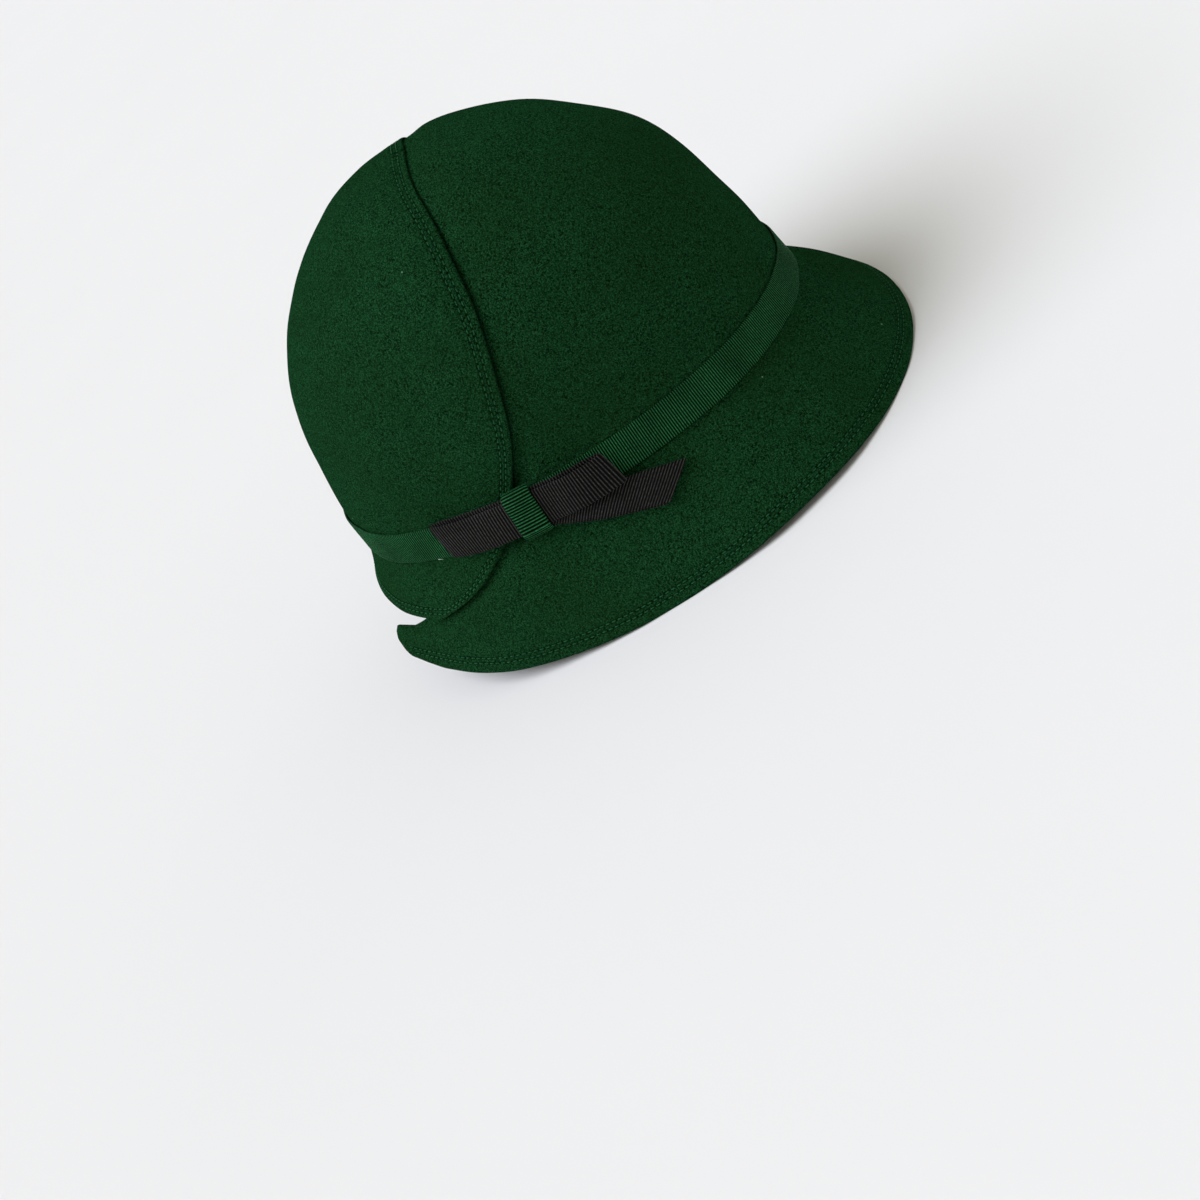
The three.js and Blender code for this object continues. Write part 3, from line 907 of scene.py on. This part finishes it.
def thread_material(name, dark, light):
    n = Nodes(name)
    where = n.add("ShaderNodeTexCoord").outputs["Object"]
    strands = n.noise(where, 2600, 2.0, 0.6)
    base = n.mix(n.between(strands, 0.35, 0.65), dark, light)
    n.set(n.shader, {"Base Color": base, "Roughness": n.between(strands, 0.3, 0.7, 0.55, 0.8),
                     "Normal": n.bump(strands, 0.6, 0.0002)})
    n.set(n.shader, {"Specular IOR Level": 0.03, "Sheen Weight": 0.01, "Sheen Roughness": 0.4,
                     "Sheen Tint": colour(0.2, 0.6, 0.35)})
    return n.material


def floor_material():
    n = Nodes("pale_floor")
    where = n.add("ShaderNodeTexCoord").outputs["Object"]
    cloud = n.noise(where, 6, 2.0, 0.5)
    base = n.mix(cloud, colour(0.755, 0.755, 0.755), colour(0.77, 0.77, 0.77))
    n.set(n.shader, {"Base Color": base, "Roughness": 0.9, "Specular IOR Level": 0.1})
    return n.material


# ---- the scene ----

def camera():
    """The viewing angle, as a fitting program gave it: place and axes in the standing hat's frame."""
    place = Vector((-0.67192, -0.12241, 0.37054))
    right = Vector((-0.1432, -0.7936, -0.5913)).normalized()
    ahead = Vector((0.8323, 0.2267, -0.5058)).normalized()
    up = right.cross(ahead).normalized()
    right = ahead.cross(up)
    data = bpy.data.cameras.new("camera")
    data.lens, data.sensor_width = 53.76, 36
    data.clip_start, data.clip_end = 0.05, 60
    obj = bpy.data.objects.new("camera", data)
    axes = Matrix((right, up, -ahead)).transposed().to_4x4()
    obj.matrix_world = Matrix.Translation(place) @ axes
    bpy.context.scene.collection.objects.link(obj)
    bpy.context.scene.camera = obj
    return right, up, ahead


def studio(right, up, ahead):
    """A seamless pale backdrop, a warm surround and one wide soft key light from the camera's left."""
    bend = np.radians(np.linspace(0, 90, 15))
    reach = np.concatenate([[0.001, 2], 5.5 + 3.5 * np.sin(bend), [9]])
    rise = np.concatenate([[0, 0], 3.5 * (1 - np.cos(bend)), [4.2]])
    turn = np.radians(np.arange(0, 360, 3))
    level = np.outer(rise, np.ones_like(turn))
    points = np.stack([np.outer(reach, np.cos(turn)), np.outer(reach, np.sin(turn)), level], -1)
    index = np.arange(points.shape[0] * len(turn)).reshape(points.shape[:2])
    index = np.concatenate([index, index[:, :1]], 1)
    quads = np.stack([index[:-1, :-1], index[1:, :-1], index[1:, 1:], index[:-1, 1:]], -1).reshape(-1, 4)
    floor = mesh_object("floor", points.reshape(-1, 3), quads.tolist() + [index[0, :-1].tolist()],
                        materials=[floor_material()])
    world = bpy.data.worlds.new("surround")
    bpy.context.scene.world = world
    world.use_nodes = True
    background = world.node_tree.nodes.get("Background") or world.node_tree.nodes.new("ShaderNodeBackground")
    background.inputs[0].default_value = (1.05, 1.0, 0.80, 1)
    background.inputs[1].default_value = 0.40
    data = bpy.data.lights.new("key", "SUN")
    data.angle = math.radians(48)
    data.energy = 2.9
    data.color = (0.97, 1.0, 1.11)
    key = bpy.data.objects.new("key", data)
    towards = (right * -0.9 + up * 0.05 - ahead * 0.4).normalized()
    key.rotation_mode = "QUATERNION"
    key.rotation_quaternion = towards.to_track_quat("Z", "Y")
    key.location = towards * 2
    bpy.context.scene.collection.objects.link(key)


def finish_piece(piece, slot, *nodes):
    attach(piece, "root")
    if nodes:
        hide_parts(*nodes)
    return piece


bpy.context.scene.view_settings.view_transform = "Standard"
studio(*camera())

felt = felt_material()
thread = thread_material("thread_green", colour(0.005, 0.036, 0.0125), colour(0.026, 0.135, 0.052))
pale_thread = thread_material("thread_pale", colour(0.12, 0.2, 0.14), colour(0.35, 0.5, 0.38))
# each ribbon's colours: painted valley shade, the ribs' own colour, painted crest highlight
green = ribbon_material(
    "ribbon_green", colour(0.0002, 0.0016, 0.0004), colour(0.006, 0.041, 0.0125), colour(0.045, 0.27, 0.095),
    0.02, 0.01, colour(0.4, 0.9, 0.6))
black = ribbon_material(
    "ribbon_black", colour(0.0002, 0.0002, 0.0002), colour(0.006, 0.0062, 0.0056),
    colour(0.085, 0.083, 0.078), 0.06, 0.01, colour(0.8, 0.75, 0.75))

finish_piece(front_panel(felt), "felt_green", "front_panel")
finish_piece(back_panel(felt), "felt_green", "back_panel")
finish_piece(brim_threads(thread), "felt_green")
finish_piece(back_threads(thread), "felt_green")
finish_piece(tack_thread(pale_thread), "ribbon_green")
band = finish_piece(ribbon_band(green), "ribbon_green", "ribbon_band")
loops = finish_piece(bow_loops(black), "ribbon_black", "bow_loops")
tail_upper = finish_piece(
    bow_tail("tail_upper_grosgrain", 4.6, 44.2, 2, 0, black, 0.4), "ribbon_black", "bow_tail_upper")
tail_lower = finish_piece(
    bow_tail("tail_lower_grosgrain", 4.8, 43, 1, 0.8, black, 0.7), "ribbon_black", "bow_tail_lower")
knot = finish_piece(bow_knot(green), "ribbon_green", "bow_knot")
